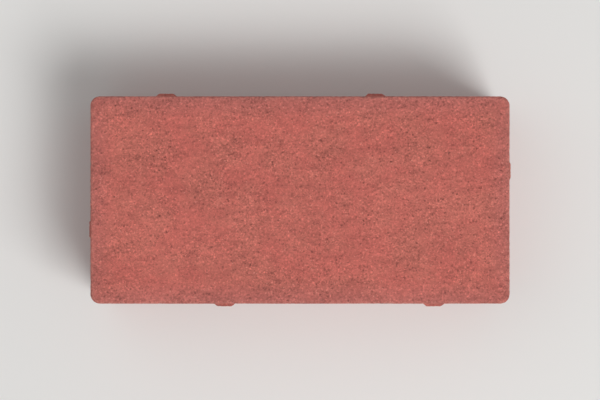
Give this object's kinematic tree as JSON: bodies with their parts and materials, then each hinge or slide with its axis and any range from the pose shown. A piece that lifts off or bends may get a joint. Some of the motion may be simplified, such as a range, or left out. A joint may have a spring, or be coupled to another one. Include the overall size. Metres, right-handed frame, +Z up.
{
  "type": "concrete paving stone",
  "caption": "Rectangular pressed concrete paving stone with rounded upright corners, a softened edge round its wearing face and spacer nibs on its sides.",
  "frame": {"origin": "middle of the bed face, the side that lies on the bedding, at the middle of the bounding box in plan", "axes": "+X along the length, +Y across the width, +Z up through the thickness, out of the wearing face"},
  "size_m": [0.202, 0.102, 0.06],
  "materials": {
    "concrete": "matt, fine-grained, through-coloured brick red"
  },
  "bodies": {
    "root": {"paving_stone": "concrete"}
  },
  "joints": []
}
